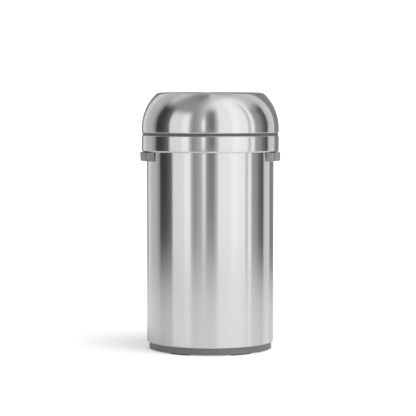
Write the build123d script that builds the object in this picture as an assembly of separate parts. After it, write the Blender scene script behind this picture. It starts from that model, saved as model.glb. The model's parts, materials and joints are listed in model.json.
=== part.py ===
from build123d import *
import os
from math import cos, pi, radians, sqrt, tan

# Round open-top bin with an ash bowl in its mouth. Millimetres, +Z up.
# The origin is the centre of the underside, the front faces -Y and the handles are at -X and +X.

# Overall sizes
body_diameter = 357.0  # outside of the body shell
body_height = 535.5  # shell seen between base ring and collar
collar_overhang = 14.5  # collar beyond the shell, per side
collar_height = 46.0
strip_height = 6.0  # recessed plastic strip between collar and dome
strip_recess = 2.0  # strip behind the collar's face
dome_height = 113.5
dome_arc_radius = 132.5  # round of the dome's shoulder
dome_straight = 14.0  # upright stretch below the shoulder
lip_radius = 21.0  # outer round of the mouth's lip
lip_inner_radius = 12.0  # inner round of the mouth's lip
lip_drop = 17.5  # upright stretch inside the mouth
base_inset = 6.0  # base ring inside the shell's face
base_height = 18.0

# Sheet metal
shell_sheet = 0.8
shell_corner = 5.0  # round of the shell's lower edge
shell_lip = 12.5  # width of the shell's turned-in lower lip
collar_sheet = 0.8
collar_lower_corner = 7.5
collar_upper_corner = 3.0
collar_upper_lip = 6.5
dome_sheet = 1.0
dome_corner = 3.0  # round of the dome's lower edge
dome_hem = 5.5  # turned-in lower edge of the dome
pan_sheet = 1.2
pan_corner = 6.0
pan_rim = 14.0
bowl_sheet = 1.0
plate_thickness = 3.0  # backing plates
bracket_sheet = 1.2

# Clearances
sheet_gap = 0.3  # plastic beside sheet metal
seat_gap = 0.2  # curved faces that are clamped together
spigot_gap = 0.5  # lid spigot in the rim ring
bucket_gap = 1.5  # bucket flange in the rim ring
bowl_gap = 0.8  # bowl rim in the mouth
grid_gap = 1.2  # stub grid in the bowl
bore_gap = 0.2  # screws and rivets in plain holes
thread_gap = 0.05  # screws in their threads
wall_relief = 0.1  # flat heads and nuts against curved walls
over = 3.0  # cutters beyond what they cut

# Base ring and pads
base_wall = 4.0
base_width = 22.5
base_foot_width = 12.0
base_foot = 3.0
base_round = 1.5  # round of the ring's foot
base_seat_round = 1.0  # round below the shell
base_screw_inset = 8.5  # screws inside the shell's lower lip
pad_proud = 2.0
pad_thickness = 3.0
pad_width = 9.0
pad_length = 60.0
pad_count = 6

# Rim ring
ring_wall = 3.2  # wall outside the shell
ring_inner_wall = 2.4
ring_step = 1.0  # bore inside the inner wall's face
ring_skin = 2.4  # wall behind the collar
ring_ledge = 4.0  # thickness of the bucket's ledge
ledge_width = 9.0
ledge_drop = 17.5  # ledge below the ring's top
ring_skirt = 26.0  # inner wall below the ledge's underside
web_above_ledge = 4.0

# Handles
handle_length = 164.0  # between the outer corners at the top
handle_end_slope = 20.0  # ends reach further round at the shell, degrees
handle_end_draft = 6.0  # ends lean in towards the bottom, degrees
handle_depth = 19.8  # reach beyond the shell
handle_height = 24.0
handle_taper = 1.6  # narrower at the bottom by
handle_wall = 3.0
handle_top_wall = 4.0
handle_drop = 1.5  # top of the handle below the collar
handle_round = 2.0
handle_lower_round = 1.0
backing_height = 16.0
backing_length = 120.0
handle_screw_angle = 14.5  # each side of the handle's middle, degrees

# Inner bucket and bag ring
bucket_wall = 2.0
bucket_floor_gap = 8.0  # bucket floor above the base pan
bucket_taper = 10.0
bucket_corner = 10.0
bucket_lip_round = 0.5
bucket_wall_inset = 5.0  # bucket wall inside the ledge's bore
hand_hole_width = 90.0
hand_hole_height = 20.0
hand_hole_drop = 25.0  # centre of the hand holes below the flange
bag_ring_thickness = 2.0
bag_ring_skirt = 10.0
bag_gap = 0.9  # room for a bag's folded edge
bag_ring_inset = 1.0  # ring's edge inside the bucket's flange

# Lid skirt
skirt_thickness = 5.0
skirt_reach = 4.0  # plate inside the spigot
spigot_wall = 3.0
spigot_depth = 11.5
bumper_proud = 0.5
bumper_thickness = 3.5
bumper_radius = 5.0
bracket_width = 18.0
bracket_leg = 16.0
bracket_upright = 9.0
bracket_inset = 1.0  # screws inside the middle of the skirt

# Funnel
funnel_wall = 2.5
funnel_slot_gap = 0.2
funnel_slot_depth = 8.0
funnel_channel = 14.0  # height of the channel that holds the dome's lip
funnel_taper = 12.0
funnel_reach = 7.5  # funnel's end below the rim ring's top

# Ash bowl, grid and knob
bowl_rim = 6.0
bowl_bearing = 5.4  # width of the bowl's flange
bowl_ledge_depth = 14.0
bowl_ledge_width = 9.5
bowl_depth = 49.0  # below the grid's ledge
bowl_taper = 8.0
bowl_corner = 14.0
bowl_ledge_round = 1.5
bowl_seat_round = 2.0
bowl_flange_round = 1.2
grid_thickness = 1.5
grid_hole_radius = 5.0
grid_hole_pitch = 16.0
grid_margin = 14.0
knob_stem_radius = 8.0
knob_stem_height = 12.0
knob_cap_radius = 16.0
knob_cap_height = 10.0
knob_round = 3.0

# Fasteners: shaft radius, head radius, head height
base_screw = (2.5, 5.0, 3.0)
rim_screw = (2.0, 4.0, 2.5)
handle_screw = (2.5, 4.5, 3.0)
lid_screw = (1.75, 3.5, 2.4)
rivet = (2.0, 3.5, 0.8)
knob_screw = (2.5, 4.5, 2.0)
nut_radius = 4.6
nut_height = 4.0
screw_point = 2.0  # screw beyond what it holds
base_screw_length = 10.0
knob_screw_length = 10.0
fixing_count = 6

# Radii
shell_radius = body_diameter / 2
shell_bore = shell_radius - shell_sheet
collar_radius = shell_radius + collar_overhang
collar_bore = collar_radius - collar_sheet
base_radius = shell_radius - base_inset
lip_opening = shell_radius - shell_lip
slot_inner = shell_bore - sheet_gap
slot_outer = shell_radius + sheet_gap
ring_outer = slot_outer + ring_wall
ring_bore = slot_inner - ring_inner_wall - ring_step
ledge_bore = ring_bore - ledge_width
bucket_flange = ring_bore - bucket_gap
bucket_radius = ledge_bore - bucket_wall_inset
bag_bore = bucket_radius - bucket_wall - bag_gap - bag_ring_thickness
spigot_radius = ring_bore - spigot_gap
skirt_radius = collar_radius - dome_sheet - seat_gap
skirt_bore = spigot_radius - spigot_wall - skirt_reach
lid_screw_circle = (spigot_radius + collar_radius) / 2 - bracket_inset
dome_centre_radius = collar_radius - dome_arc_radius

# Heights
shell_bottom = pad_proud + base_height
collar_bottom = shell_bottom + body_height
collar_top = collar_bottom + collar_height
strip_top = collar_top + strip_height
ledge_top = strip_top - ledge_drop
pan_bottom = shell_bottom + shell_sheet
bucket_bottom = pan_bottom + pan_sheet + bucket_floor_gap
bag_top = ledge_top + bucket_wall + bag_ring_thickness
dome_bottom = strip_top + bumper_proud
dome_top = dome_bottom + dome_height
skirt_bottom = dome_bottom + dome_sheet
skirt_top = skirt_bottom + skirt_thickness
dome_centre_height = dome_bottom + dome_straight

# Mouth
lip_centre_height = dome_top - lip_radius
lip_rise = lip_centre_height - dome_centre_height
lip_distance = dome_arc_radius - lip_radius
lip_centre_radius = dome_centre_radius + sqrt(lip_distance**2 - lip_rise**2)
mouth_radius = lip_centre_radius - lip_inner_radius
lip_end = dome_top - lip_inner_radius - lip_drop
funnel_top = lip_end + funnel_slot_depth
funnel_bottom = strip_top - funnel_reach
funnel_bore = mouth_radius - funnel_slot_gap - funnel_wall
bowl_rim_radius = mouth_radius - bowl_gap
bowl_wall_radius = bowl_rim_radius - bowl_bearing
bowl_ledge = funnel_top - bowl_ledge_depth
bowl_bottom = bowl_ledge - bowl_depth
grid_radius = bowl_wall_radius - bowl_sheet - grid_gap
grid_bottom = bowl_ledge + bowl_sheet
grid_top = grid_bottom + grid_thickness

upright = (Align.CENTER, Align.CENTER, Align.MIN)


def turned(points, radii=None):
    """Solid of revolution from a closed outline of (radius, height) points."""
    if radii is None:
        outline = Polyline(*points, close=True)
    else:
        outline = FilletPolyline(*points, radius=radii, close=True)
    return revolve(Plane.XZ * make_face(outline.edges()), axis=Axis.Z)


def spun(path, sheet):
    """Sheet of revolution whose outer or lower face follows the path."""
    band = offset(Wire(path.edges()), amount=sheet, side=Side.LEFT)
    return revolve(Plane.XZ * make_face(band), axis=Axis.Z)


def rod(radius, start, end, place=(0, 0)):
    """Upright round bar between two heights."""
    return Pos(place[0], place[1], start) * Cylinder(radius, end - start, align=upright)


def spoke(radius, start, end, angle, height):
    """Round bar that lies along a radius of the bin."""
    bar = Pos(start, 0, height) * Rot(0, 90, 0) * Cylinder(radius, end - start, align=upright)
    return Rot(0, 0, angle) * bar


def around(count, first=0.0):
    return [first + 360.0 * step / count for step in range(count)]


def group(solids):
    return Compound(children=[piece.solid() for piece in solids])


# Body

rim_screw_height = (collar_bottom + ledge_top) / 2
base_screw_circle = lip_opening - base_screw_inset
handle_top = collar_bottom - handle_drop
handle_bottom = handle_top - handle_height
handle_middle = (handle_top - handle_top_wall + handle_bottom) / 2
handle_back = shell_radius + seat_gap
backing_face = shell_bore - seat_gap - plate_thickness
sides = {"left": 180.0, "right": 0.0}


def handle_screw_angles(side):
    return [sides[side] - handle_screw_angle, sides[side] + handle_screw_angle]


def body_shell():
    path = FilletPolyline(
        (lip_opening, shell_bottom),
        (shell_radius, shell_bottom),
        (shell_radius, ledge_top),
        radius=shell_corner,
    )
    shell = spun(path, shell_sheet)
    inside = shell_bore - over
    outside = shell_radius + over
    for angle in around(fixing_count):
        shell -= spoke(rim_screw[0] + bore_gap, inside, outside, angle, rim_screw_height)
    for side in sides:
        for angle in handle_screw_angles(side):
            shell -= spoke(handle_screw[0] + bore_gap, inside, outside, angle, handle_middle)
    return shell


def base_ring():
    inner = base_radius - base_width
    plate_bottom = shell_bottom - base_wall
    foot_top = pad_proud + base_foot
    ring = turned(
        [
            (base_radius - base_foot_width, pad_proud),
            (base_radius, pad_proud),
            (base_radius, shell_bottom),
            (lip_opening - sheet_gap, shell_bottom),
            (lip_opening - sheet_gap, pan_bottom),
            (inner, pan_bottom),
            (inner, foot_top),
            (inner + base_wall, foot_top),
            (inner + base_wall, plate_bottom),
            (base_radius - base_wall, plate_bottom),
            (base_radius - base_wall, foot_top),
            (base_radius - base_foot_width, foot_top),
        ],
        [0, base_round, base_seat_round, 0, 0, 0, 0, 0, 0, 0, 0, 0],
    )
    for angle in around(fixing_count):
        hole = rod(base_screw[0] + thread_gap, 0, pan_bottom + over, (base_screw_circle, 0))
        ring -= Rot(0, 0, angle) * hole
    for angle in around(pad_count):
        ring -= pad(angle, seat_gap)
    return ring


def pad(angle, extra=0.0):
    middle = base_radius - base_foot_width / 2
    band = turned(
        [
            (middle - pad_width / 2 - extra, 0),
            (middle + pad_width / 2 + extra, 0),
            (middle + pad_width / 2 + extra, pad_thickness),
            (middle - pad_width / 2 - extra, pad_thickness),
        ]
    )
    window = Pos(middle, 0, 0) * Box(2 * base_foot_width, pad_length + 2 * extra, 4 * pad_thickness)
    return Rot(0, 0, angle) * (band & window)


def non_slip_pads():
    return group([pad(angle) for angle in around(pad_count)])


def base_pan():
    path = FilletPolyline(
        (0, pan_bottom),
        (shell_bore - sheet_gap, pan_bottom),
        (shell_bore - sheet_gap, pan_bottom + pan_rim),
        radius=pan_corner,
    )
    pan = spun(path, pan_sheet)
    for angle in around(fixing_count):
        hole = rod(base_screw[0] + bore_gap, 0, pan_bottom + pan_rim, (base_screw_circle, 0))
        pan -= Rot(0, 0, angle) * hole
    return pan


def base_screws():
    shaft, head, head_height = base_screw
    seat = pan_bottom + pan_sheet
    screw = rod(shaft, seat - base_screw_length, seat, (base_screw_circle, 0))
    screw += rod(head, seat, seat + head_height, (base_screw_circle, 0))
    return group([Rot(0, 0, angle) * screw for angle in around(fixing_count)])


def rim_ring():
    neck = collar_radius - collar_upper_lip - sheet_gap
    skin = collar_bore - sheet_gap
    ring_floor = collar_bottom + collar_sheet
    groove = collar_top - collar_sheet - sheet_gap
    ring = turned(
        [
            (slot_outer, ring_floor),
            (ring_outer, ring_floor),
            (ring_outer, ledge_top + web_above_ledge),
            (skin - ring_skin, ledge_top + web_above_ledge),
            (skin - ring_skin, collar_bottom + collar_lower_corner + ring_skin),
            (skin, collar_bottom + collar_lower_corner + ring_skin),
            (skin, groove - collar_upper_corner),
            (skin - collar_upper_corner, groove),
            (neck, groove),
            (neck, collar_top),
            (collar_radius - strip_recess, collar_top),
            (collar_radius - strip_recess, strip_top),
            (ring_bore, strip_top),
            (ring_bore, ledge_top),
            (ledge_bore, ledge_top),
            (ledge_bore, ledge_top - ring_ledge),
            (slot_inner - ring_inner_wall, ledge_top - ring_ledge),
            (slot_inner - ring_inner_wall, ledge_top - ring_ledge - ring_skirt),
            (slot_inner, ledge_top - ring_ledge - ring_skirt),
            (slot_inner, ledge_top),
            (slot_outer, ledge_top),
        ]
    )
    for angle in around(fixing_count):
        ring -= spoke(rim_screw[0] + bore_gap, ring_bore - over, shell_radius, angle, rim_screw_height)
        ring -= spoke(rim_screw[0] + thread_gap, shell_radius, ring_outer + over, angle, rim_screw_height)
    return ring


def collar_band():
    path = FilletPolyline(
        (slot_outer + sheet_gap, collar_bottom),
        (collar_radius, collar_bottom),
        (collar_radius, collar_top),
        (collar_radius - collar_upper_lip, collar_top),
        radius=[collar_lower_corner, collar_upper_corner],
    )
    return spun(path, collar_sheet)


def radial_screw(screw, seat, end, angle, height, outward):
    """Screw along a radius; outward is +1 when its point is further out than its head."""
    shaft, head, head_height = screw
    body = spoke(shaft, min(seat, end), max(seat, end), angle, height)
    head_far = seat - outward * head_height
    body += spoke(head, min(seat, head_far), max(seat, head_far), angle, height)
    return body


def rim_screws():
    seat = slot_inner - ring_inner_wall - wall_relief
    end = ring_outer + screw_point
    angles = around(fixing_count)
    return group([radial_screw(rim_screw, seat, end, angle, rim_screw_height, 1) for angle in angles])


def handle_block(inset):
    """Prism between the handle's sloping ends, drawn in by the inset."""
    slope = radians(handle_end_slope)
    corner = sqrt((shell_radius + handle_depth) ** 2 - (handle_length / 2) ** 2)
    near = corner - handle_length / 2
    far = shell_radius + 2 * handle_depth
    half = handle_length / 2 - inset / cos(slope)
    near_half = half + (corner - near) * tan(slope)
    far_half = half + (corner - far) * tan(slope)
    outline = Polyline((near, -near_half), (far, -far_half), (far, far_half), (near, near_half), close=True)
    face = Plane.XY.offset(handle_top) * make_face(outline.edges())
    return extrude(face, handle_height + over, dir=(0, 0, -1), taper=handle_end_draft)


def handle(side):
    reach = shell_radius + handle_depth
    back = handle_back + handle_wall
    outside = turned(
        [
            (handle_back, handle_bottom),
            (reach - handle_taper, handle_bottom),
            (reach, handle_top),
            (handle_back, handle_top),
        ],
        [0, handle_lower_round, handle_round, 0],
    )
    hollow = turned(
        [
            (back, handle_bottom - over),
            (reach - handle_taper - handle_wall, handle_bottom - over),
            (reach - handle_wall, handle_top - handle_top_wall),
            (back, handle_top - handle_top_wall),
        ]
    )
    grip = (outside & handle_block(0)) - (hollow & handle_block(handle_wall))
    for angle in (-handle_screw_angle, handle_screw_angle):
        grip -= spoke(handle_screw[0] + bore_gap, shell_radius, back + over, angle, handle_middle)
    return Rot(0, 0, sides[side]) * grip


def backing_plate(side):
    plate = turned(
        [
            (backing_face, handle_middle - backing_height / 2),
            (backing_face + plate_thickness, handle_middle - backing_height / 2),
            (backing_face + plate_thickness, handle_middle + backing_height / 2),
            (backing_face, handle_middle + backing_height / 2),
        ]
    )
    plate &= Pos(shell_radius, 0, handle_middle) * Box(shell_radius, backing_length, 2 * backing_height)
    for angle in (-handle_screw_angle, handle_screw_angle):
        plate -= spoke(handle_screw[0] + bore_gap, backing_face - over, shell_radius, angle, handle_middle)
    return Rot(0, 0, sides[side]) * plate


def handle_screws(side):
    seat = handle_back + handle_wall
    end = backing_face - nut_height - screw_point
    angles = handle_screw_angles(side)
    return group([radial_screw(handle_screw, seat, end, angle, handle_middle, -1) for angle in angles])


def handle_nuts(side):
    nuts = []
    for angle in handle_screw_angles(side):
        blank = extrude(RegularPolygon(nut_radius, 6), nut_height)
        blank -= rod(handle_screw[0] + thread_gap, -over, nut_height + over)
        seat = Pos(backing_face - wall_relief, 0, handle_middle) * Rot(0, -90, 0)
        nuts.append(Rot(0, 0, angle) * seat * blank)
    return group(nuts)


# Bucket and bag ring


def inner_bucket():
    path = FilletPolyline(
        (0, bucket_bottom),
        (bucket_radius - bucket_taper, bucket_bottom),
        (bucket_radius, ledge_top),
        (bucket_flange, ledge_top),
        radius=[bucket_corner, bucket_lip_round],
    )
    bucket = spun(path, bucket_wall)
    slot = extrude(SlotOverall(hand_hole_width, hand_hole_height), 2 * bucket_radius, both=True)
    return bucket - Pos(0, 0, ledge_top - hand_hole_drop) * Rot(90, 0, 0) * slot


def bag_ring():
    seat = ledge_top + bucket_wall
    return turned(
        [
            (bag_bore, seat - bag_ring_skirt),
            (bag_bore + bag_ring_thickness, seat - bag_ring_skirt),
            (bag_bore + bag_ring_thickness, seat),
            (bucket_flange - bag_ring_inset, seat),
            (bucket_flange - bag_ring_inset, bag_top),
            (bag_bore, bag_top),
        ]
    )


# Lid


def dome_shell():
    lip_direction = Vector(lip_centre_radius - dome_centre_radius, lip_rise)
    lip_angle = Vector(1, 0).get_signed_angle(lip_direction, Vector(0, 0, 1))
    shoulder = CenterArc((dome_centre_radius, dome_centre_height), dome_arc_radius, 0, lip_angle)
    lip = CenterArc((lip_centre_radius, lip_centre_height), lip_radius, lip_angle, 90 - lip_angle)
    roll_centre = (lip_centre_radius, dome_top - lip_inner_radius)
    roll = CenterArc(roll_centre, lip_inner_radius, 90, 90)
    inside = Line((mouth_radius, dome_top - lip_inner_radius), (mouth_radius, lip_end))
    foot = FilletPolyline(
        (collar_radius - dome_hem, dome_bottom),
        (collar_radius, dome_bottom),
        (collar_radius, dome_centre_height),
        radius=dome_corner,
    )
    path = Wire(foot.edges() + [shoulder.edge(), lip.edge(), roll.edge(), inside.edge()])
    band = offset(path, amount=dome_sheet, side=Side.LEFT)
    dome = revolve(Plane.XZ * make_face(band), axis=Axis.Z)
    outside = mouth_radius + dome_sheet + over
    for angle in around(fixing_count):
        dome -= spoke(rivet[0] + bore_gap, mouth_radius - over, outside, angle, rivet_height)
    return dome


rivet_height = (lip_end + funnel_top) / 2
spigot_bottom = strip_top - spigot_depth + bumper_proud


def lid_skirt():
    skirt = turned(
        [
            (spigot_radius - spigot_wall, spigot_bottom),
            (spigot_radius, spigot_bottom),
            (spigot_radius, skirt_bottom),
            (skirt_radius - dome_corner, skirt_bottom),
            (skirt_radius, skirt_bottom + dome_corner),
            (skirt_radius, skirt_top),
            (skirt_bore, skirt_top),
            (skirt_bore, skirt_bottom),
            (spigot_radius - spigot_wall, skirt_bottom),
        ]
    )
    shaft, head, head_height = lid_screw
    place = (lid_screw_circle, 0)
    for angle in around(fixing_count, 180 / fixing_count):
        hole = rod(shaft + bore_gap, skirt_bottom - over, skirt_top + over, place)
        hole += rod(head + sheet_gap, skirt_bottom - over, skirt_bottom + head_height + sheet_gap, place)
        skirt -= Rot(0, 0, angle) * hole
    for angle in around(fixing_count):
        pocket = rod(bumper_radius + seat_gap, strip_top, strip_top + bumper_thickness, place)
        skirt -= Rot(0, 0, angle) * pocket
    return skirt


def lid_bumpers():
    bumper = rod(bumper_radius, strip_top, strip_top + bumper_thickness, (lid_screw_circle, 0))
    return group([Rot(0, 0, angle) * bumper for angle in around(fixing_count)])


def lid_brackets():
    section = turned(
        [
            (skirt_radius - bracket_leg, skirt_top),
            (skirt_radius, skirt_top),
            (skirt_radius, skirt_top + bracket_upright),
            (skirt_radius - bracket_sheet, skirt_top + bracket_upright),
            (skirt_radius - bracket_sheet, skirt_top + bracket_sheet),
            (skirt_radius - bracket_leg, skirt_top + bracket_sheet),
        ]
    )
    window = Pos(skirt_radius, 0, skirt_top) * Box(3 * bracket_leg, bracket_width, 4 * bracket_upright)
    bracket = section & window
    bracket -= rod(lid_screw[0] + thread_gap, skirt_top - over, skirt_top + over, (lid_screw_circle, 0))
    return group([Rot(0, 0, angle) * bracket for angle in around(fixing_count, 180 / fixing_count)])


def lid_screws():
    shaft, head, head_height = lid_screw
    seat = skirt_bottom + head_height + sheet_gap
    screw = rod(shaft, seat, skirt_top + bracket_sheet + screw_point, (lid_screw_circle, 0))
    screw += rod(head, seat - head_height, seat, (lid_screw_circle, 0))
    return group([Rot(0, 0, angle) * screw for angle in around(fixing_count, 180 / fixing_count)])


def funnel():
    slot_inside = mouth_radius - funnel_slot_gap
    slot_outside = mouth_radius + dome_sheet + funnel_slot_gap
    channel_bottom = funnel_top - funnel_channel
    cone = turned(
        [
            (funnel_bore - funnel_taper, funnel_bottom),
            (funnel_bore - funnel_taper + funnel_wall, funnel_bottom),
            (slot_inside, channel_bottom - funnel_wall),
            (slot_outside + funnel_wall, channel_bottom),
            (slot_outside + funnel_wall, funnel_top),
            (slot_outside, funnel_top),
            (slot_outside, lip_end),
            (slot_inside, lip_end),
            (slot_inside, funnel_top),
            (funnel_bore, funnel_top),
            (funnel_bore, channel_bottom),
        ]
    )
    outside = slot_outside + funnel_wall + over
    for angle in around(fixing_count):
        cone -= spoke(rivet[0] + thread_gap, funnel_bore - over, outside, angle, rivet_height)
    return cone


def funnel_rivets():
    shaft, head, head_height = rivet
    inner = funnel_bore - wall_relief
    outer = mouth_radius + dome_sheet + funnel_slot_gap + funnel_wall
    rivets = []
    for angle in around(fixing_count):
        piece = spoke(shaft, inner, outer, angle, rivet_height)
        piece += spoke(head, inner - head_height, inner, angle, rivet_height)
        piece += spoke(head, outer, outer + head_height, angle, rivet_height)
        rivets.append(piece)
    return group(rivets)


# Ash bowl and stub grid


def ash_bowl():
    path = FilletPolyline(
        (0, bowl_bottom),
        (bowl_wall_radius - bowl_ledge_width - bowl_taper, bowl_bottom),
        (bowl_wall_radius - bowl_ledge_width, bowl_ledge),
        (bowl_wall_radius, bowl_ledge),
        (bowl_wall_radius, funnel_top),
        (bowl_rim_radius, funnel_top),
        (bowl_rim_radius, funnel_top + bowl_rim),
        radius=[bowl_corner, bowl_ledge_round, bowl_seat_round, bowl_flange_round, bowl_seat_round],
    )
    return spun(path, bowl_sheet)


def stub_grid():
    plate = rod(grid_radius, grid_bottom, grid_top)
    plate -= rod(knob_screw[0] + bore_gap, grid_bottom - over, grid_top + over)
    ring_radius = knob_cap_radius + grid_hole_radius
    while ring_radius < grid_radius - grid_margin:
        count = round(2 * pi * ring_radius / grid_hole_pitch)
        for angle in around(count):
            hole = rod(grid_hole_radius, grid_bottom - over, grid_top + over, (ring_radius, 0))
            plate -= Rot(0, 0, angle) * hole
        ring_radius += grid_hole_pitch
    return plate


def grid_knob():
    cap_bottom = grid_top + knob_stem_height
    cap_top = cap_bottom + knob_cap_height
    knob = turned(
        [
            (0, grid_top),
            (knob_stem_radius, grid_top),
            (knob_stem_radius, cap_bottom),
            (knob_cap_radius, cap_bottom),
            (knob_cap_radius, cap_top),
            (0, cap_top),
        ],
        [0, 0, knob_round, knob_round, knob_round, 0],
    )
    return knob - rod(knob_screw[0] + thread_gap, grid_bottom, grid_bottom + knob_screw_length)


def grid_knob_screw():
    shaft, head, head_height = knob_screw
    screw = rod(shaft, grid_bottom, grid_bottom + knob_screw_length)
    return screw + rod(head, grid_bottom - head_height, grid_bottom)


nodes = {
    "body_shell": body_shell(),
    "base_ring": base_ring(),
    "base_pan": base_pan(),
    "base_screws": base_screws(),
    "non_slip_pads": non_slip_pads(),
    "rim_ring": rim_ring(),
    "rim_screws": rim_screws(),
    "collar_band": collar_band(),
    "inner_bucket": inner_bucket(),
    "bag_ring": bag_ring(),
    "dome_shell": dome_shell(),
    "lid_skirt": lid_skirt(),
    "lid_brackets": lid_brackets(),
    "lid_screws": lid_screws(),
    "lid_bumpers": lid_bumpers(),
    "funnel": funnel(),
    "funnel_rivets": funnel_rivets(),
    "ash_bowl": ash_bowl(),
    "stub_grid": stub_grid(),
    "grid_knob": grid_knob(),
    "knob_screw": grid_knob_screw(),
}
for side in sides:
    nodes[side + "_handle"] = handle(side)
    nodes[side + "_backing_plate"] = backing_plate(side)
    nodes[side + "_handle_screws"] = handle_screws(side)
    nodes[side + "_handle_nuts"] = handle_nuts(side)

os.makedirs("parts", exist_ok=True)
for name, shape in nodes.items():
    export_step(shape, "parts/" + name + ".step")
    print(name, len(shape.solids()), round(shape.volume / 1000, 1), "cm3")
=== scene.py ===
import json
from math import atan2, cos, degrees, hypot, pi, radians, sin, sqrt

import bpy
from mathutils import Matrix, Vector


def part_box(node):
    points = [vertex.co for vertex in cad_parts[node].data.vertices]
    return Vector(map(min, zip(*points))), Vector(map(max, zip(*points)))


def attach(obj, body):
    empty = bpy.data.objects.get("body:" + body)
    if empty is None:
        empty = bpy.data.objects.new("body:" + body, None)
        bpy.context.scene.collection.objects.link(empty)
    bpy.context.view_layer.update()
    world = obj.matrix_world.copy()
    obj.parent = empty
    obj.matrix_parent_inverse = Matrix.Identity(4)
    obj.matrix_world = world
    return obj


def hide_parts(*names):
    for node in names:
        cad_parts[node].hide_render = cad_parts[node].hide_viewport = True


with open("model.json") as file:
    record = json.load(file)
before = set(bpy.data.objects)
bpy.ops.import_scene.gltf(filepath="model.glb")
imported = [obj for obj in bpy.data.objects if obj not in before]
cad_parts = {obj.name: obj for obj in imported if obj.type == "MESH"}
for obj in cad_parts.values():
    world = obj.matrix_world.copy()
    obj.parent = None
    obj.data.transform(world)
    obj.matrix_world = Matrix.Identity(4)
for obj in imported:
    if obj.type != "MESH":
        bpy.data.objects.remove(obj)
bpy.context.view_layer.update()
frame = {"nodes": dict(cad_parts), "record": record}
nodes = frame["nodes"]
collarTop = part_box("collar_band")[1].z
print("frame loaded")


# Shader sockets as Python values

class Flow:
    def __init__(self, tree, socket=None):
        self.tree = tree
        self.socket = socket

    def node(self, kind, settings=None, inputs=None, out=0):
        made = self.tree.nodes.new(kind)
        for key, value in (settings or {}).items():
            if key == "stops":
                for spot, (place, shade) in enumerate(value):
                    ramp = made.color_ramp.elements
                    stop = ramp[spot] if spot < 2 else ramp.new(place)
                    stop.position = place
                    stop.color = (shade, shade, shade, 1)
            else:
                setattr(made, key, value)
        for key, value in (inputs or {}).items():
            if isinstance(value, Flow):
                self.tree.links.new(value.socket, made.inputs[key])
            else:
                made.inputs[key].default_value = value
        return Flow(self.tree, made.outputs[out]) if len(made.outputs) else None

    def maths(self, operation, first, second=0.0, third=0.0, clamp=False):
        return self.node(
            "ShaderNodeMath", {"operation": operation, "use_clamp": clamp}, {0: first, 1: second, 2: third}
        )

    def __add__(self, other):
        return self.maths("ADD", self, other)

    def __sub__(self, other):
        return self.maths("SUBTRACT", self, other)

    def __mul__(self, other):
        return self.maths("MULTIPLY", self, other)

    def __truediv__(self, other):
        return self.maths("DIVIDE", self, other)

    def __radd__(self, other):
        return self.maths("ADD", other, self)

    def __rsub__(self, other):
        return self.maths("SUBTRACT", other, self)

    def __rmul__(self, other):
        return self.maths("MULTIPLY", other, self)

    def __pow__(self, other):
        return self.maths("POWER", self, other)

    def clamped(self):
        return self.maths("ADD", self, 0.0, clamp=True)


def grey(value, warmth=0.0):
    return (value * (1 + warmth), value, value * (1 - warmth), 1)


def startMaterial(name):
    material = bpy.data.materials.new(name)
    material.use_nodes = True
    tree = material.node_tree
    tree.nodes.clear()
    flow = Flow(tree)
    place = flow.node("ShaderNodeTexCoord", out=3)
    return material, flow, place


def finishMaterial(flow, inputs):
    shader = flow.node("ShaderNodeBsdfPrincipled", {}, inputs)
    flow.node("ShaderNodeOutputMaterial", {}, {"Surface": shader})


def noise(flow, place, scale, detail=2.0, roughness=0.5):
    return flow.node(
        "ShaderNodeTexNoise", {}, {"Vector": place, "Scale": scale, "Detail": detail, "Roughness": roughness}
    )


def mixColour(flow, factor, first, second):
    return flow.node(
        "ShaderNodeMix", {"data_type": "RGBA"}, {0: factor, 6: first, 7: second}, out=2
    )


def bump(flow, height, distance, strength=1.0):
    return flow.node("ShaderNodeBump", {}, {"Height": height, "Distance": distance, "Strength": strength})


brushing = {"darkLine": 0.93, "brightLine": 1.05, "weldShade": 0.7,
            "lineRough": 0.06, "smudgeRough": 0.04, "weldRough": 0.15}
moulding = {"pale": 1.1, "worn": 0.92, "wearStart": 0.35, "wearEnd": 0.7,
            "grainRough": 0.12, "cloudRough": 0.08}
plating = {"dark": 0.85, "bright": 1.1, "warmth": -0.01, "cloud": 35.0, "crystalMiddle": 0.4,
           "crystalRough": 0.12, "cloudRough": 0.2, "depth": 0.00005}


def brushedSteel(name, look):
    material, flow, place = startMaterial(name)
    axes = flow.node("ShaderNodeSeparateXYZ", {}, {"Vector": place})
    x = axes
    y = Flow(flow.tree, axes.socket.node.outputs[1])
    z = Flow(flow.tree, axes.socket.node.outputs[2])
    radius = (x * x + y * y) ** 0.5
    along = z - radius  # runs up a wall and in over the dome
    lines = flow.node("ShaderNodeCombineXYZ", {}, {
        0: x * look["lineReach"], 1: y * look["lineReach"], 2: along * look["lineCount"],
    })
    fine = noise(flow, lines, 1.0, 3.0, 0.7)
    broad = noise(flow, place, look["smudge"], 2.0)
    colour = mixColour(flow, fine, grey(look["shade"] * brushing["darkLine"]),
                       grey(look["shade"] * brushing["brightLine"]))
    # The rolled body and collar meet in a ground weld at the back
    beside = flow.maths("LESS_THAN", flow.maths("ABSOLUTE", x), look["seamWidth"] / 2)
    weld = beside * flow.maths("GREATER_THAN", y, 0.0) * flow.maths("LESS_THAN", z, collarTop)
    colour = mixColour(flow, weld, colour, grey(look["shade"] * brushing["weldShade"]))
    uneven = (fine - 0.5) * brushing["lineRough"] + (broad - 0.5) * brushing["smudgeRough"]
    finishMaterial(flow, {
        "Base Color": colour,
        "Metallic": 1.0,
        "Roughness": look["roughness"] + uneven + weld * brushing["weldRough"],
        "Anisotropic": look["anisotropic"],
        "Anisotropic Rotation": look["turn"],
        "Normal": bump(flow, fine, look["depth"]),
    })
    return material


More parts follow.
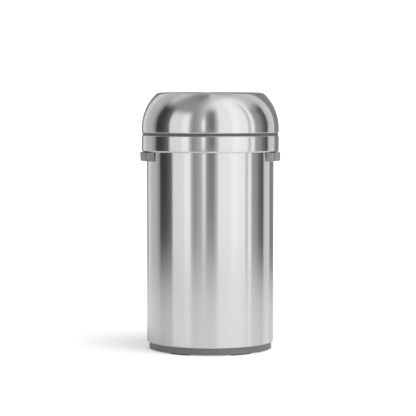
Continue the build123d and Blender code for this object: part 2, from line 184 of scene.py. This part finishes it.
def mouldedPlastic(name, look):
    material, flow, place = startMaterial(name)
    grain = noise(flow, place, look["grain"], 2.0, 0.6)
    cloud = noise(flow, place, look["cloud"], 3.0)
    wear = flow.node("ShaderNodeMapRange", {}, {
        "Value": cloud, "From Min": moulding["wearStart"], "From Max": moulding["wearEnd"],
    })
    colour = mixColour(flow, wear, grey(look["shade"] * moulding["worn"]),
                       grey(look["shade"] * moulding["pale"]))
    uneven = (grain - 0.5) * moulding["grainRough"] + (cloud - 0.5) * moulding["cloudRough"]
    finishMaterial(flow, {
        "Base Color": colour,
        "Roughness": look["roughness"] + uneven,
        "Specular IOR Level": look["specular"],
        "Normal": bump(flow, grain, look["depth"]),
    })
    return material


def platedSteel(name, look):
    material, flow, place = startMaterial(name)
    crystals = flow.node(
        "ShaderNodeTexVoronoi", {"feature": "F1"}, {"Vector": place, "Scale": look["spangle"]}
    )
    cloud = noise(flow, place, plating["cloud"], 3.0)
    dark = grey(look["shade"] * plating["dark"], plating["warmth"])
    bright = grey(look["shade"] * plating["bright"], plating["warmth"])
    colour = mixColour(flow, cloud, dark, bright)
    uneven = (crystals - plating["crystalMiddle"]) * plating["crystalRough"]
    uneven = uneven + (cloud - 0.5) * plating["cloudRough"]
    finishMaterial(flow, {
        "Base Color": colour,
        "Metallic": 1.0,
        "Roughness": look["roughness"] + uneven,
        "Normal": bump(flow, cloud, plating["depth"]),
    })
    return material


steel = brushedSteel("brushedSteel", {
    "shade": 0.66, "roughness": 0.16, "anisotropic": 0.6, "turn": 0.25,
    "lineReach": 7.0, "lineCount": 1500.0, "smudge": 9.0, "depth": 0.000006, "seamWidth": 0.0012,
})
bowlSteel = brushedSteel("spunSteel", {
    "shade": 0.6, "roughness": 0.27, "anisotropic": 0.7, "turn": 0.25,
    "lineReach": 9.0, "lineCount": 1100.0, "smudge": 22.0, "depth": 0.00002, "seamWidth": 0.0,
})
zinc = platedSteel("zincPlate", {"shade": 0.55, "roughness": 0.38, "spangle": 130.0})
basePlastic = mouldedPlastic("basePlastic", {
    "shade": 0.19, "roughness": 0.5, "specular": 0.5, "grain": 2400.0, "cloud": 14.0, "depth": 0.00003,
})
rimPlastic = mouldedPlastic("rimPlastic", {
    "shade": 0.12, "roughness": 0.42, "specular": 0.5, "grain": 2600.0, "cloud": 12.0, "depth": 0.00002,
})
handlePlastic = mouldedPlastic("handlePlastic", {
    "shade": 0.27, "roughness": 0.5, "specular": 0.5, "grain": 2600.0, "cloud": 20.0, "depth": 0.00003,
})
bucketPlastic = mouldedPlastic("bucketPlastic", {
    "shade": 0.035, "roughness": 0.38, "specular": 0.5, "grain": 700.0, "cloud": 10.0, "depth": 0.00004,
})
bagRingPlastic = mouldedPlastic("bagRingPlastic", {
    "shade": 0.27, "roughness": 0.4, "specular": 0.5, "grain": 1500.0, "cloud": 18.0, "depth": 0.00002,
})
funnelPlastic = mouldedPlastic("funnelPlastic", {
    "shade": 0.05, "roughness": 0.45, "specular": 0.5, "grain": 2200.0, "cloud": 16.0, "depth": 0.00003,
})
knobPlastic = mouldedPlastic("knobPlastic", {
    "shade": 0.02, "roughness": 0.22, "specular": 0.55, "grain": 400.0, "cloud": 40.0, "depth": 0.00001,
})
padRubber = mouldedPlastic("padRubber", {
    "shade": 0.025, "roughness": 0.8, "specular": 0.3, "grain": 1800.0, "cloud": 60.0, "depth": 0.00005,
})
print("materials made")

finishes = {
    "brushed_stainless": steel, "bowl_steel": bowlSteel, "zinc_steel": zinc, "base_plastic": basePlastic,
    "rim_plastic": rimPlastic, "handle_plastic": handlePlastic, "bucket_plastic": bucketPlastic,
    "bag_ring_plastic": bagRingPlastic, "funnel_plastic": funnelPlastic, "knob_plastic": knobPlastic,
    "pad_rubber": padRubber,
}
slotOf = {row["node"]: row["material_slot"] for row in frame["record"]["subparts"]}
bodyOf = {}
for body, members in frame["record"]["behaviour"]["bodies"].items():
    for member in members:
        bodyOf[member] = body
for node, slot in slotOf.items():
    nodes[node].data.materials.clear()
    nodes[node].data.materials.append(finishes[slot])
print("CAD pieces painted")


# Turned pieces

smoothAngle = radians(35)
mergeReach = 0.000002


def clearSelection():
    if bpy.context.object and bpy.context.object.mode != "OBJECT":
        bpy.ops.object.mode_set(mode="OBJECT")
    bpy.ops.object.select_all(action="DESELECT")


def arcPoints(centre, radius, start, end, count):
    points = []
    for step in range(count + 1):
        angle = radians(start + (end - start) * step / count)
        points.append((centre[0] + radius * cos(angle), centre[1] + radius * sin(angle)))
    return points


def rounded(corners, radii, count=6):
    # Replaces each inner corner of a line by an arc of its radius
    points = [corners[0]]
    for spot in range(1, len(corners) - 1):
        radius = radii[spot - 1]
        corner = Vector(corners[spot])
        before = (Vector(corners[spot - 1]) - corner).normalized()
        after = (Vector(corners[spot + 1]) - corner).normalized()
        if radius <= 0:
            points.append(tuple(corner))
            continue
        half = before.angle(after) / 2
        reach = radius / (sin(half) / cos(half))
        middle = corner + (before + after).normalized() * (radius / sin(half))
        first = corner + before * reach - middle
        turnAngle = first.angle_signed(corner + after * reach - middle)
        start = atan2(first.y, first.x)
        for step in range(count + 1):
            angle = start - turnAngle * step / count
            points.append((middle.x + radius * cos(angle), middle.y + radius * sin(angle)))
    points.append(corners[-1])
    return points


def roundedRing(corners, radii, count=5):
    # A closed outline with rounded corners, starting in the middle of its last side
    last, first = Vector(corners[-1]), Vector(corners[0])
    middle = tuple((last + first) / 2)
    return rounded([middle] + list(corners) + [middle], radii, count)


def turn(name, profile, steps=192, wall=0.0, angle=2 * pi):
    clearSelection()
    bpy.ops.mesh.primitive_plane_add(size=0.002, location=(profile[0][0], 0, profile[0][1]))
    piece = bpy.context.object
    piece.name = name
    bpy.ops.object.mode_set(mode="EDIT")
    bpy.ops.mesh.select_mode(type="VERT")
    bpy.ops.mesh.select_all(action="SELECT")
    bpy.ops.mesh.merge(type="CENTER")
    for here, there in zip(profile, profile[1:]):
        move = (there[0] - here[0], 0, there[1] - here[1])
        bpy.ops.mesh.extrude_region_move(TRANSFORM_OT_translate={"value": move})
    bpy.ops.mesh.select_all(action="SELECT")
    bpy.ops.mesh.remove_doubles(threshold=mergeReach)
    bpy.ops.mesh.select_all(action="SELECT")
    bpy.ops.mesh.spin(steps=steps, angle=angle, center=(0, 0, 0), axis=(0, 0, 1))
    bpy.ops.mesh.select_all(action="SELECT")
    bpy.ops.mesh.remove_doubles(threshold=mergeReach)
    bpy.ops.mesh.select_all(action="SELECT")
    bpy.ops.mesh.normals_make_consistent(inside=False)
    bpy.ops.object.mode_set(mode="OBJECT")
    bpy.ops.object.transform_apply(location=True, rotation=True, scale=True)
    if wall:
        pointOut(piece, profile)
        shell = piece.modifiers.new("wall", "SOLIDIFY")
        shell.thickness = wall
        shell.offset = -1
        shell.use_even_offset = True
        bpy.ops.object.modifier_apply(modifier=shell.name)
    bpy.ops.object.shade_smooth_by_angle(angle=smoothAngle)
    return piece


def pointOut(piece, profile):
    # The metal lies to the left of the profile's run, so its faces have to look to the right
    (r0, z0), (r1, z1) = profile[len(profile) // 2 - 1], profile[len(profile) // 2]
    middle = Vector(((r0 + r1) / 2, (z0 + z1) / 2))
    wanted = Vector((z1 - z0, r0 - r1))
    best = min(piece.data.polygons, key=lambda face: (
        Vector((hypot(face.center.x, face.center.y), face.center.z)) - middle).length)
    outward = Vector((best.center.x, best.center.y, 0)).normalized()
    seen = best.normal.dot(outward) * wanted.x + best.normal.z * wanted.y
    if seen < 0:
        bpy.ops.object.mode_set(mode="EDIT")
        bpy.ops.mesh.select_all(action="SELECT")
        bpy.ops.mesh.flip_normals()
        bpy.ops.object.mode_set(mode="OBJECT")


def cutAway(piece, cutter):
    clearSelection()
    piece.select_set(True)
    bpy.context.view_layer.objects.active = piece
    cut = piece.modifiers.new("cut", "BOOLEAN")
    cut.operation = "DIFFERENCE"
    cut.object = cutter
    bpy.ops.object.modifier_apply(modifier=cut.name)
    bpy.data.objects.remove(cutter)


def standFor(piece, node):
    piece.data.materials.clear()
    piece.data.materials.append(finishes[slotOf[node]])
    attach(piece, bodyOf[node])
    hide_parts(node)
    return piece


def spanOf(node):
    low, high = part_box(node)
    return high.x, low.z, high.z


bodyShell = {"sheet": 0.0008, "corner": 0.005, "lip": 0.0125}


def makeBodyShell():
    reach, low, high = spanOf("body_shell")
    corners = [(reach - bodyShell["lip"], low), (reach, low), (reach, high)]
    profile = rounded(corners, [bodyShell["corner"]], 8)
    return standFor(turn("bodyShell", profile, 256, bodyShell["sheet"]), "body_shell")


collarBand = {"sheet": 0.0008, "lowerCorner": 0.005, "upperCorner": 0.003, "upperLip": 0.0065, "gap": 0.0006}


def makeCollarBand():
    reach, low, high = spanOf("collar_band")
    shellReach = spanOf("body_shell")[0]
    corners = [(shellReach + collarBand["gap"], low), (reach, low), (reach, high),
               (reach - collarBand["upperLip"], high)]
    profile = rounded(corners, [collarBand["lowerCorner"], collarBand["upperCorner"]], 8)
    return standFor(turn("collarBand", profile, 256, collarBand["sheet"]), "collar_band")


dome = {"sheet": 0.001, "corner": 0.003, "hem": 0.0055, "straight": 0.014, "shoulder": 0.1325,
        "lip": 0.021, "roll": 0.012, "drop": 0.0175}


def makeDome():
    reach, low, high = spanOf("dome_shell")
    centre = (reach - dome["shoulder"], low + dome["straight"])
    lipHeight = high - dome["lip"]
    rise = lipHeight - centre[1]
    span = dome["shoulder"] - dome["lip"]
    lipReach = centre[0] + sqrt(span ** 2 - rise ** 2)
    tilt = degrees(atan2(rise, lipReach - centre[0]))
    profile = rounded([(reach - dome["hem"], low), (reach, low), (reach, centre[1])], [dome["corner"]], 6)
    profile += arcPoints(centre, dome["shoulder"], 0, tilt, 40)[1:]
    profile += arcPoints((lipReach, lipHeight), dome["lip"], tilt, 90, 16)[1:]
    profile += arcPoints((lipReach, high - dome["roll"]), dome["roll"], 90, 180, 14)[1:]
    profile.append((lipReach - dome["roll"], high - dome["roll"] - dome["drop"]))
    return standFor(turn("domeShell", profile, 256, dome["sheet"]), "dome_shell")


baseRing = {"foot": 0.012, "footThickness": 0.003, "width": 0.0225, "wall": 0.004, "step": 0.0008,
            "lip": 0.0068, "footRound": 0.0015, "seatRound": 0.0012, "edge": 0.0004}


def makeBaseRing():
    reach, low, high = spanOf("base_ring")
    shellBottom = high - baseRing["step"]
    foot = low + baseRing["footThickness"]
    inner = reach - baseRing["width"]
    under = shellBottom - baseRing["wall"]
    lip = reach - baseRing["lip"]
    footInner = reach - baseRing["foot"]
    inside, outside = inner + baseRing["wall"], reach - baseRing["wall"]
    corners = [
        (footInner, low), (reach, low), (reach, shellBottom), (lip, shellBottom), (lip, high), (inner, high),
        (inner, foot), (inside, foot), (inside, under), (outside, under), (outside, foot), (footInner, foot),
    ]
    edge = baseRing["edge"]
    radii = [edge, baseRing["footRound"], baseRing["seatRound"], 0, 0] + [edge] * 7
    return standFor(turn("baseRing", roundedRing(corners, radii, 4), 192), "base_ring")


rimRing = {"recess": 0.002, "neck": 0.0068, "neckDrop": 0.0011, "skin": 0.0011, "skinWall": 0.0024,
           "collarCorner": 0.0099, "wall": 0.0032, "innerWall": 0.0024, "step": 0.001, "ledgeWidth": 0.009,
           "ledge": 0.004, "web": 0.004, "lower": 0.0008, "slotGap": 0.0003,
           "topRound": 0.0006, "ledgeRound": 0.0008}


def makeRimRing():
    reach, low, high = spanOf("rim_ring")
    collarReach, collarLow, collarHigh = spanOf("collar_band")
    shellReach, shellLow, ledgeTop = spanOf("body_shell")
    slotOuter = shellReach + rimRing["slotGap"]
    slotInner = shellReach - bodyShell["sheet"] - rimRing["slotGap"]
    outer = slotOuter + rimRing["wall"]
    skin = collarReach - rimRing["skin"]
    behind = skin - rimRing["skinWall"]
    neck = collarReach - rimRing["neck"]
    strip = collarReach - rimRing["recess"]
    floor = collarLow + rimRing["lower"]
    skinLow = collarLow + rimRing["collarCorner"]
    groove = collarHigh - rimRing["neckDrop"]
    web = ledgeTop + rimRing["web"]
    inner = slotInner - rimRing["innerWall"]
    bore = inner - rimRing["step"]
    ledgeUnder = ledgeTop - rimRing["ledge"]
    ledgeBore = bore - rimRing["ledgeWidth"]
    corners = [
        (slotOuter, floor), (outer, floor), (outer, web), (behind, web), (behind, skinLow), (skin, skinLow),
        (skin, groove), (neck, groove), (neck, collarHigh), (strip, collarHigh), (strip, high), (bore, high),
        (bore, ledgeTop), (ledgeBore, ledgeTop), (ledgeBore, ledgeUnder), (inner, ledgeUnder), (inner, low),
        (slotInner, low), (slotInner, ledgeTop), (slotOuter, ledgeTop),
    ]
    top, ledge = rimRing["topRound"], rimRing["ledgeRound"]
    radii = [0, ledge, 0, 0, 0, 0, 0.003, 0, 0, 0, top, top, 0, ledge, ledge, 0, 0, 0, 0, 0]
    return standFor(turn("rimRing", roundedRing(corners, radii, 3), 192), "rim_ring")


lidSkirt = {"thickness": 0.005, "spigotInset": 0.005, "spigotWall": 0.003, "corner": 0.003, "plate": 0.004,
            "round": 0.0008}


def makeLidSkirt():
    reach, low, high = spanOf("lid_skirt")
    under = high - lidSkirt["thickness"]
    spigot = spanOf("body_shell")[0] - lidSkirt["spigotInset"]
    inner = spigot - lidSkirt["spigotWall"]
    bore = inner - lidSkirt["plate"]
    corner = lidSkirt["corner"]
    corners = [(inner, low), (spigot, low), (spigot, under), (reach - corner, under), (reach, under + corner),
               (reach, high), (bore, high), (bore, under), (inner, under)]
    edge = lidSkirt["round"]
    profile = roundedRing(corners, [edge, edge, 0, 0, 0, edge, edge, edge, 0], 3)
    return standFor(turn("lidSkirt", profile, 192), "lid_skirt")


funnelCone = {"wall": 0.0025, "taper": 0.012, "channel": 0.014, "slotDepth": 0.008, "sheet": 0.001,
              "slotGap": 0.0002, "round": 0.0006}


def makeFunnel():
    reach, low, high = spanOf("funnel")
    slotOutside = reach - funnelCone["wall"]
    slotInside = slotOutside - funnelCone["sheet"] - 2 * funnelCone["slotGap"]
    bore = slotInside - funnelCone["wall"]
    channel = high - funnelCone["channel"]
    lipEnd = high - funnelCone["slotDepth"]
    neck = bore - funnelCone["taper"]
    corners = [
        (neck, low), (neck + funnelCone["wall"], low), (slotInside, channel - funnelCone["wall"]),
        (reach, channel), (reach, high), (slotOutside, high), (slotOutside, lipEnd), (slotInside, lipEnd),
        (slotInside, high), (bore, high), (bore, channel),
    ]
    edge = funnelCone["round"]
    radii = [edge, edge, 0, edge, edge, 0, 0, 0, 0, edge, 0]
    return standFor(turn("funnelCone", roundedRing(corners, radii, 3), 192), "funnel")


ashBowl = {"sheet": 0.001, "rim": 0.006, "bearing": 0.0054, "ledgeDepth": 0.014, "ledgeWidth": 0.0095,
           "taper": 0.008, "corner": 0.014, "ledgeRound": 0.0015, "seatRound": 0.002, "flangeRound": 0.0012}


def makeAshBowl():
    reach, low, high = spanOf("ash_bowl")
    flange = high - ashBowl["rim"]
    wall = reach - ashBowl["bearing"]
    ledge = flange - ashBowl["ledgeDepth"]
    shoulder = wall - ashBowl["ledgeWidth"]
    profile = rounded(
        [(0, low), (shoulder - ashBowl["taper"], low), (shoulder, ledge), (wall, ledge), (wall, flange),
         (reach, flange), (reach, high)],
        [ashBowl["corner"], ashBowl["ledgeRound"], ashBowl["seatRound"], ashBowl["flangeRound"],
         ashBowl["seatRound"]], 6)
    return standFor(turn("ashBowl", profile, 192, ashBowl["sheet"]), "ash_bowl")


bucket = {"wall": 0.002, "inset": 0.0319, "taper": 0.01, "corner": 0.01, "flangeRound": 0.0008,
          "holeWidth": 0.09, "holeHeight": 0.02, "holeDrop": 0.025}


def makeBucket():
    reach, low, high = spanOf("inner_bucket")
    flange = high - bucket["wall"]
    wall = spanOf("rim_ring")[0] - bucket["inset"]
    profile = rounded([(0, low), (wall - bucket["taper"], low), (wall, flange), (reach, flange)],
                      [bucket["corner"], bucket["flangeRound"]], 6)
    piece = turn("innerBucket", profile, 144, bucket["wall"])
    clearSelection()
    middle = flange - bucket["holeDrop"]
    bpy.ops.mesh.primitive_cube_add(size=1.0, location=(0, 0, middle))
    slot = bpy.context.object
    slot.scale = (bucket["holeWidth"], 3 * wall, bucket["holeHeight"])
    bpy.ops.object.transform_apply(location=True, rotation=True, scale=True)
    bpy.ops.object.mode_set(mode="EDIT")
    bpy.ops.mesh.select_mode(type="EDGE")
    bpy.ops.mesh.select_all(action="DESELECT")
    bpy.ops.object.mode_set(mode="OBJECT")
    for edge in slot.data.edges:
        first, second = (slot.data.vertices[spot].co for spot in edge.vertices)
        edge.select = abs(first.y - second.y) > wall
    bpy.ops.object.mode_set(mode="EDIT")
    bpy.ops.mesh.bevel(offset=bucket["holeHeight"] * 0.499, segments=8)
    bpy.ops.object.mode_set(mode="OBJECT")
    cutAway(piece, slot)
    bpy.ops.object.shade_smooth_by_angle(angle=smoothAngle)
    return standFor(piece, "inner_bucket")


bagRing = {"inset": 0.0174, "thickness": 0.002, "round": 0.0008}


def makeBagRing():
    reach, low, high = spanOf("bag_ring")
    bore = spanOf("inner_bucket")[0] - bagRing["inset"]
    seat = high - bagRing["thickness"]
    corners = [(bore, low), (bore + bagRing["thickness"], low), (bore + bagRing["thickness"], seat),
               (reach, seat), (reach, high), (bore, high)]
    edge = bagRing["round"]
    profile = roundedRing(corners, [edge, edge, 0, edge, edge, edge], 4)
    return standFor(turn("bagRing", profile, 192), "bag_ring")


gridKnob = {"stem": 0.008, "stemHeight": 0.012, "round": 0.003, "dish": 0.0008, "dishReach": 0.009}


def makeKnob():
    reach, low, high = spanOf("grid_knob")
    under = low + gridKnob["stemHeight"]
    corner = gridKnob["round"]
    profile = rounded(
        [(0, low), (gridKnob["stem"], low), (gridKnob["stem"], under), (reach, under), (reach, high),
         (gridKnob["dishReach"], high), (0, high - gridKnob["dish"])],
        [0.0005, 0.002, corner, corner, 0.006], 8)
    return standFor(turn("gridKnob", profile, 96), "grid_knob")


def selectFaces(piece, wanted):
    bpy.ops.object.mode_set(mode="EDIT")
    bpy.ops.mesh.select_mode(type="FACE")
    bpy.ops.mesh.select_all(action="DESELECT")
    bpy.ops.object.mode_set(mode="OBJECT")
    for face in piece.data.polygons:
        face.select = wanted(face)
    bpy.ops.object.mode_set(mode="EDIT")


def cutGroove(piece, middle, turned, size):
    clearSelection()
    bpy.ops.mesh.primitive_cube_add(size=1.0, location=middle, rotation=turned)
    groove = bpy.context.object
    groove.scale = size
    bpy.ops.object.transform_apply(location=True, rotation=True, scale=True)
    cutAway(piece, groove)


handle = {"gap": 0.0002, "length": 0.164, "slope": 20.0, "draft": 6.0, "taper": 0.0016, "wall": 0.003,
          "topWall": 0.004, "topRound": 0.002, "lowerRound": 0.001, "edge": 0.0004, "edgeAngle": 40.0,
          "reachAngle": 72.0, "grooves": [(0.0018, 0.0024, 0.0029), (0.0272, 0.0027, 0.0055)]}


def makeHandle(side, angle):
    # A turned bar is cut to length by two leaning planes, grooved at its ends and hollowed from below
    reach, low, high = spanOf("right_handle")
    back = spanOf("body_shell")[0] + handle["gap"]
    corners = [(back, low), (reach - handle["taper"], low), (reach, high), (back, high)]
    radii = [handle["lowerRound"], handle["lowerRound"], handle["topRound"], handle["lowerRound"]]
    sweep = radians(handle["reachAngle"])
    piece = turn(side + "Handle", roundedRing(corners, radii, 4), 48, 0.0, sweep)
    piece.rotation_euler.z = sweep / 2  # the spin ran clockwise from +X
    bpy.ops.object.transform_apply(location=False, rotation=True, scale=False)
    corner = sqrt(reach ** 2 - (handle["length"] / 2) ** 2)
    slope, draft = radians(handle["slope"]), radians(handle["draft"])
    for way in (-1, 1):
        normal = Vector((sin(slope) * cos(draft), way * cos(slope) * cos(draft), -sin(draft)))
        bpy.ops.object.mode_set(mode="EDIT")
        bpy.ops.mesh.select_all(action="SELECT")
        bpy.ops.mesh.bisect(plane_co=(corner, way * handle["length"] / 2, high), plane_no=normal,
                            use_fill=True, clear_outer=True)
        bpy.ops.mesh.select_all(action="SELECT")
        bpy.ops.mesh.normals_make_consistent(inside=False)
        bpy.ops.object.mode_set(mode="OBJECT")
    for way in (-1, 1):
        top = Vector((corner, way * handle["length"] / 2, high))
        across = Vector((-cos(slope), way * sin(slope), 0))
        down = Vector((-sin(slope) * sin(draft), -way * cos(slope) * sin(draft), -cos(draft)))
        for along, width, deep in handle["grooves"]:
            cutGroove(piece, top + across * along + down * (high - low) / 2, (-way * draft, 0, -way * slope),
                      (width, 2 * deep, high - low - 2 * handle["lowerRound"]))
    selectFaces(piece, lambda face: face.normal.z < -0.99 and face.center.z < low + handle["lowerRound"] / 4)
    bpy.ops.mesh.inset(thickness=handle["wall"], depth=0)
    lift = high - handle["topWall"] - low
    bpy.ops.mesh.extrude_region_move(TRANSFORM_OT_translate={"value": (0, 0, lift)})
    bpy.ops.mesh.select_all(action="SELECT")
    bpy.ops.mesh.normals_make_consistent(inside=False)
    bpy.ops.object.mode_set(mode="OBJECT")
    edges = piece.modifiers.new("edges", "BEVEL")
    edges.width = handle["edge"]
    edges.segments = 2
    edges.limit_method = "ANGLE"
    edges.angle_limit = radians(handle["edgeAngle"])
    bpy.ops.object.modifier_apply(modifier=edges.name)
    piece.rotation_euler.z = radians(angle)
    bpy.ops.object.transform_apply(location=False, rotation=True, scale=False)
    bpy.ops.object.shade_smooth_by_angle(angle=smoothAngle)
    return standFor(piece, side + "_handle")


makeBodyShell()
makeCollarBand()
makeDome()
print("steel sheets turned")
makeBaseRing()
makeRimRing()
makeHandle("right", 0)
makeHandle("left", 180)
print("body mouldings made")
makeLidSkirt()
makeFunnel()
makeBucket()
makeBagRing()
print("liner and lid mouldings made")
makeAshBowl()
makeKnob()
print("ash bowl made")


# Studio

studio = {
    "panelSoft": 0.08, "backdrop": 1.6, "floorFull": 0.9, "floorEnd": 3.0, "floorShade": 0.8,
    "floorCover": 0.72, "keyPlace": (0.6, -0.5, 3.4), "keySize": 1.6, "keyPower": 80.0,
}
# Each panel: middle azimuth, width, top elevation, brightness.
# Azimuth 0 is towards the camera and 90 is towards +X.
panels = [
    (-166, 24, 70, 0.24), (-146, 16, 70, 0.86), (-130.5, 15, 70, 0.66), (-118, 12, 60, 0.6),
    (-108, 8, 46, 0.4), (-94, 20, 41, 0.055), (-83.5, 7, 41, 0.09), (-76, 9, 41, 0.14), (-60, 25, 33, 1.02),
    (-41.5, 13, 33, 1.24), (-33.2, 5, 36, 0.54), (-28, 6, 38, 0.35), (-22, 6, 36, 0.46), (-16.5, 5, 32, 0.6),
    (-11.2, 5.5, 23, 1.35), (-5.5, 5.5, 42, 0.34), (2.5, 11, 44, 0.22), (10.5, 5, 46, 0.56),
    (25, 24, 66, 1.17), (44, 14, 66, 1.3), (59, 16, 66, 1.22), (69, 5, 56, 0.6), (75.5, 8, 62, 1.25),
    (83.5, 8, 38, 0.44), (91, 8, 38, 0.38), (99, 8, 37, 0.19), (108, 10, 36, 0.09), (118.5, 11, 60, 0.78),
    (130, 12, 60, 0.86), (146, 20, 60, 0.28), (168, 24, 60, 0.34),
]
# The front panels stand clear of the floor
gapUnder = {"middle": -8.0, "width": 32.0, "top": -7.0, "soft": 0.4, "brightness": 0.46}
# The floor around the studio, by azimuth
ground = {"top": -11.5, "soft": 2.0, "strength": 0.5, "left": 0.72, "front": 0.48, "right": 1.05}
# The ceiling by azimuth: bright behind on the left, dim over the left front, bright over the right front
ceiling = {"behindLeft": 0.85, "frontLeft": 0.38, "frontRight": 1.14, "behindRight": 0.72, "zenith": 0.72}


def makeWorld():
    world = bpy.data.worlds.new("studioWorld")
    bpy.context.scene.world = world
    world.use_nodes = True
    tree = world.node_tree
    tree.nodes.clear()
    flow = Flow(tree)
    direction = flow.node("ShaderNodeTexCoord", out=0)
    x = flow.node("ShaderNodeSeparateXYZ", {}, {"Vector": direction})
    y = Flow(tree, x.socket.node.outputs[1])
    z = Flow(tree, x.socket.node.outputs[2])
    azimuth = flow.maths("ARCTAN2", x, y * -1.0) * (180 / pi)
    elevation = flow.maths("ARCSINE", z) * (180 / pi)

    def ramp(value, start, end, change):
        return flow.node("ShaderNodeMapRange", {"interpolation_type": "SMOOTHSTEP"}, {
            "Value": value, "From Min": start, "From Max": end, "To Min": 0.0, "To Max": change,
        })

    light = ramp(azimuth, -112.0, -72.0, ceiling["frontLeft"] - ceiling["behindLeft"])
    light = light + ceiling["behindLeft"]
    light = light + ramp(azimuth, -38.0, 22.0, ceiling["frontRight"] - ceiling["frontLeft"])
    light = light + ramp(azimuth, 72.0, 100.0, ceiling["behindRight"] - ceiling["frontRight"])
    light = light * (1 - ramp(elevation, 62.0, 76.0, 1 - ceiling["zenith"]))
    for middle, width, top, brightness in panels:
        off = flow.maths("PINGPONG", azimuth - middle, 180.0)
        across = (width / 2 - off + 0.5).clamped()
        up = ((top - elevation) * studio["panelSoft"] + 0.5).clamped()
        mask = across * up
        light = light * (1 - mask) + mask * brightness
    off = flow.maths("PINGPONG", azimuth - gapUnder["middle"], 180.0)
    across = (gapUnder["width"] / 2 - off + 0.5).clamped()
    mask = across * ((gapUnder["top"] - elevation) * gapUnder["soft"] + 0.5).clamped()
    light = light * (1 - mask) + mask * gapUnder["brightness"]
    below = ramp(elevation, ground["top"] - ground["soft"], ground["top"] + ground["soft"], -1.0) + 1.0
    floorLight = ramp(azimuth, -105.0, -70.0, ground["front"] - ground["left"]) + ground["left"]
    floorLight = floorLight + ramp(azimuth, -25.0, 35.0, ground["right"] - ground["front"])
    below = below * ground["strength"]
    light = light * (1 - below) + below * floorLight
    shown = flow.node("ShaderNodeLightPath", out=0)
    light = light * (1 - shown) + shown * studio["backdrop"]
    background = flow.node("ShaderNodeBackground", {}, {"Color": light, "Strength": 1.0})
    flow.node("ShaderNodeOutputWorld", {}, {"Surface": background})


def makeFloor():
    clearSelection()
    bpy.ops.mesh.primitive_circle_add(vertices=96, radius=studio["floorEnd"], fill_type="NGON")
    floor = bpy.context.object
    floor.name = "floor"
    material, flow, place = startMaterial("paleFloor")
    x = flow.node("ShaderNodeSeparateXYZ", {}, {"Vector": place})
    y = Flow(flow.tree, x.socket.node.outputs[1])
    away = (x * x + y * y) ** 0.5
    there = flow.node("ShaderNodeMapRange", {"interpolation_type": "SMOOTHSTEP"},
                      {"Value": away, "From Min": studio["floorFull"], "From Max": studio["floorEnd"],
                       "To Min": studio["floorCover"], "To Max": 0.0})
    paint = flow.node("ShaderNodeBsdfDiffuse", {}, {"Color": grey(studio["floorShade"])})
    clear = flow.node("ShaderNodeBsdfTransparent")
    mixed = flow.node("ShaderNodeMixShader", {}, {0: there, 1: clear, 2: paint})
    flow.node("ShaderNodeOutputMaterial", {}, {"Surface": mixed})
    floor.data.materials.append(material)


def makeKey():
    lamp = bpy.data.lights.new("key", "AREA")
    lamp.shape = "DISK"
    lamp.size = studio["keySize"]
    lamp.energy = studio["keyPower"]
    key = bpy.data.objects.new("key", lamp)
    bpy.context.scene.collection.objects.link(key)
    key.location = studio["keyPlace"]
    key.rotation_euler = (Vector((0, 0, 0.3)) - key.location).to_track_quat("-Z", "Y").to_euler()
    key.visible_glossy = False


def makeCamera():
    view = {"lens": 147.0, "place": (-0.0065, -4.787, 0.6795), "pitch": 3.39}
    lens = bpy.data.cameras.new("camera")
    lens.lens = view["lens"]
    lens.sensor_width = 36.0
    lens.clip_end = 100.0
    camera = bpy.data.objects.new("camera", lens)
    bpy.context.scene.collection.objects.link(camera)
    camera.location = view["place"]
    camera.rotation_euler = (radians(90 - view["pitch"]), 0, 0)
    bpy.context.scene.camera = camera


makeWorld()
makeFloor()
makeKey()
makeCamera()
bpy.context.scene.view_settings.view_transform = "Standard"
print("studio set")
